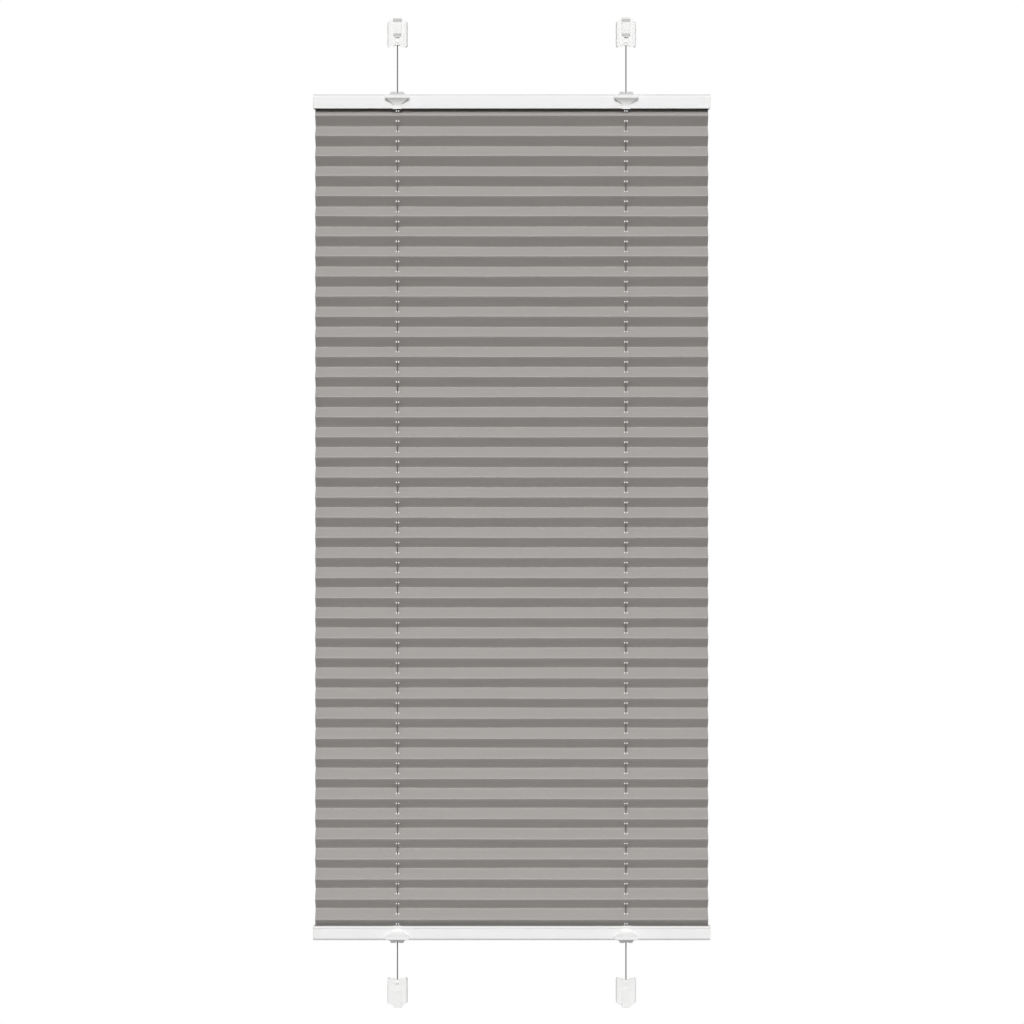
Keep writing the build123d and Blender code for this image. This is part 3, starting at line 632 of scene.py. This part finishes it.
# %% [markdown]
# ## White finishes
# The rails are powder-coated aluminium: an even satin white with a faint orange peel. The grips, end
# caps and shoes are moulded plastic, a little glossier and smoother, and the brackets are painted
# sheet steel. All three are near white, so only gloss and fine texture tell them apart.


# %% Define a white finish
def white_finish(name, screen, roughness, grain, depth, tint=(1.0, 1.0, 1.0), coat=0.0):
    """A near-white finish: a faint uneven tone, a roughness that varies, and a fine grain."""
    finish = Finish(name, Coat_Weight=coat, Coat_Roughness=0.25)
    where = finish.place()
    grain_height = finish.noise(where, grain, 2.0)
    cloudy = finish.noise(where, 35, 2.0)
    low, high = shade(screen - 0.012, tint), shade(screen + 0.012, tint)
    finish.feed("Base Color", finish.blend(cloudy, low, high))
    finish.feed("Roughness", cloudy * 0.1 + grain_height * 0.06 + roughness)
    finish.relief(grain_height, depth)
    return finish.material


powder_coat = white_finish("powder_coat", 0.945, 0.36, 900, 0.00003)
moulded_white = white_finish("moulded_white", 0.948, 0.3, 1600, 0.000012, (1.0, 0.998, 0.99))
inner_moulding = white_finish("inner_moulding", 0.94, 0.42, 1400, 0.00002)
painted_steel = white_finish("painted_steel", 0.935, 0.33, 1100, 0.00002)
milky_plastic = white_finish("milky_plastic", 0.9, 0.22, 700, 0.00001, (1.0, 1.0, 0.97), coat=0.3)
print("white finishes ready")

# %% [markdown]
# ## Steel and rubber
# The clamp screws and nuts are zinc plated: a bright grey metal, slightly cloudy from the bath. The pads
# are a soft grey rubber with a powdery surface that scatters light evenly.

# %% Finish steel and rubber
zinc_finish = Finish("zinc_plate", Metallic=1.0)
bath = zinc_finish.noise(zinc_finish.place(), 450, 3.0)
zinc_finish.feed("Base Color", zinc_finish.blend(bath, shade(0.72), shade(0.84, (1.0, 1.0, 1.03))))
zinc_finish.feed("Roughness", bath * 0.22 + 0.24)
zinc_finish.relief(bath, 0.00001)
rubber_finish = Finish("pad_rubber", Specular_IOR_Level=0.3)
powder = rubber_finish.noise(rubber_finish.place(), 1200, 3.0)
rubber_finish.feed("Base Color", rubber_finish.blend(powder, shade(0.5), shade(0.6)))
rubber_finish.feed("Roughness", powder * 0.15 + 0.75)
rubber_finish.relief(powder, 0.00004)
print("steel and rubber ready")

# %% [markdown]
# ## Dressing the solid pieces
# Each rigid piece of the solid model keeps its own mesh and only gets its finish, chosen by what it is
# made of.

# %% Give each solid piece its finish
finish_by_start = {
    "clamp_bracket": painted_steel,
    "clamp_jaw": painted_steel,
    "clamp_screw": zinc_finish.material,
    "clamp_nut": zinc_finish.material,
    "jaw_pad": rubber_finish.material,
    "tension_shoe": moulded_white,
    "cord_stop": milky_plastic,
    "top_rail": powder_coat,
    "bottom_rail": powder_coat,
    "top_end_cap": moulded_white,
    "bottom_end_cap": moulded_white,
    "top_grip": moulded_white,
    "bottom_grip": moulded_white,
    "top_clip_strip": inner_moulding,
    "bottom_clip_strip": inner_moulding,
    "top_cord_guide": inner_moulding,
    "bottom_cord_guide": inner_moulding,
    "top_crossing_cord": braid_finish.material,
    "bottom_crossing_cord": braid_finish.material,
    "cord_run": braid_finish.material,
    "pleated_fabric": cloth_finish.material,
}
for node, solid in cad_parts.items():
    start = max((key for key in finish_by_start if node.startswith(key)), key=len)
    solid.data.materials.clear()
    solid.data.materials.append(finish_by_start[start])
print("dressed", len(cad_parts), "solid pieces")

# %% [markdown]
# ## The studio
# A grey floor curves up into a backdrop behind the blind, so there is no horizon line. Higher up the
# paper gives way to a glow of exactly white. It isn't brighter than white, because then it would spill
# over thin cords and fine edges in the picture. The change runs smoothly with height on the curve. The
# backdrop stands more than six metres away, so the blind can also be walked round and seen from behind.

# %% Build the floor and backdrop
FLOOR_Z = -1.7
BACKDROP_Y = 6.6
SWEEP_RADIUS = 1.2
GLOW_FULL_Z = -1.25
FLOOR_GREY = (0.55, 0.55, 0.55, 1)
FLOOR_GLOW = (0.05, 0.05, 0.05, 1)


def studio_sweep():
    """A floor, a quarter circle and a wall, carried along X as one curved sheet."""
    turn = np.linspace(0, math.pi / 2, 33)
    curve_y = BACKDROP_Y - SWEEP_RADIUS + SWEEP_RADIUS * np.sin(turn)
    curve_z = FLOOR_Z + SWEEP_RADIUS * (1 - np.cos(turn))
    y = np.r_[-7.0, curve_y, BACKDROP_Y]
    z = np.r_[FLOOR_Z, curve_z, 4.0]
    x = np.linspace(-4, 4, 9)
    grid_x, grid_y = np.meshgrid(x, y)
    grid_z = np.repeat(z[:, None], len(x), axis=1)
    points = np.stack([grid_x, grid_y, grid_z], axis=-1).reshape(-1, 3)
    return mesh_piece("studio_sweep", points, grid_faces(len(y), len(x)))


sweep = studio_sweep()
paper = Finish("studio_paper", Roughness=0.9, Specular_IOR_Level=0.0, Emission_Strength=1.0)
height = paper.node("ShaderNodeSeparateXYZ", values={0: paper.place()}, output=2)
limits = {"Value": height, "From Min": FLOOR_Z, "From Max": GLOW_FULL_Z}
glow = paper.node("ShaderNodeMapRange", {"interpolation_type": "SMOOTHSTEP"}, limits)
paper.feed("Emission Color", paper.blend(glow, FLOOR_GLOW, (1, 1, 1, 1)))
paper.feed("Base Color", paper.blend(glow, FLOOR_GREY, (0, 0, 0, 1)))
sweep.data.materials.append(paper.material)
print("floor at", FLOOR_Z)

# %% [markdown]
# ## The light
# Both sides of each pleat are evenly lit in the photograph, with no dark valleys, and the sides that
# look up are a little lighter. So the main light is parallel and soft, from the front and 22 degrees
# up: its rays reach every valley, and their direction alone sets the ratio of the two sides. A second,
# much fainter one falls steeply and softens the shadows under the rail and the grips, and a faint white
# surrounding fills what is left. The floor stays dim, because light thrown up from it would shade the
# sides that look down from dark to light. The plain view transform keeps white paper white.

# %% Set the lights
FRONT_ELEVATION = 22
STEEP_ELEVATION = 60
FRONT_ENERGY = 2.47
STEEP_ENERGY = 0.19
FRONT_SOFTNESS = 24
STEEP_SOFTNESS = 30
SURROUNDING = 0.10

world = bpy.data.worlds.new("studio")
world.use_nodes = True
world.node_tree.nodes["Background"].inputs["Color"].default_value = (1, 1, 1, 1)
world.node_tree.nodes["Background"].inputs["Strength"].default_value = SURROUNDING
bpy.context.scene.world = world
bpy.context.scene.view_settings.view_transform = "Standard"


def hang_light(name, energy, elevation, softness):
    """Adds parallel light from the front, so many degrees up, from a source so many degrees wide."""
    lamp = bpy.data.lights.new(name, "SUN")
    lamp.energy = energy
    lamp.angle = math.radians(softness)
    holder = bpy.data.objects.new(name, lamp)
    holder.location = (0, -3, 3)
    holder.rotation_euler = (math.radians(90 - elevation), 0, 0)
    bpy.context.scene.collection.objects.link(holder)
    print(name, "has energy", lamp.energy)


hang_light("front_light", FRONT_ENERGY, FRONT_ELEVATION, FRONT_SOFTNESS)
hang_light("steep_light", STEEP_ENERGY, STEEP_ELEVATION, STEEP_SOFTNESS)
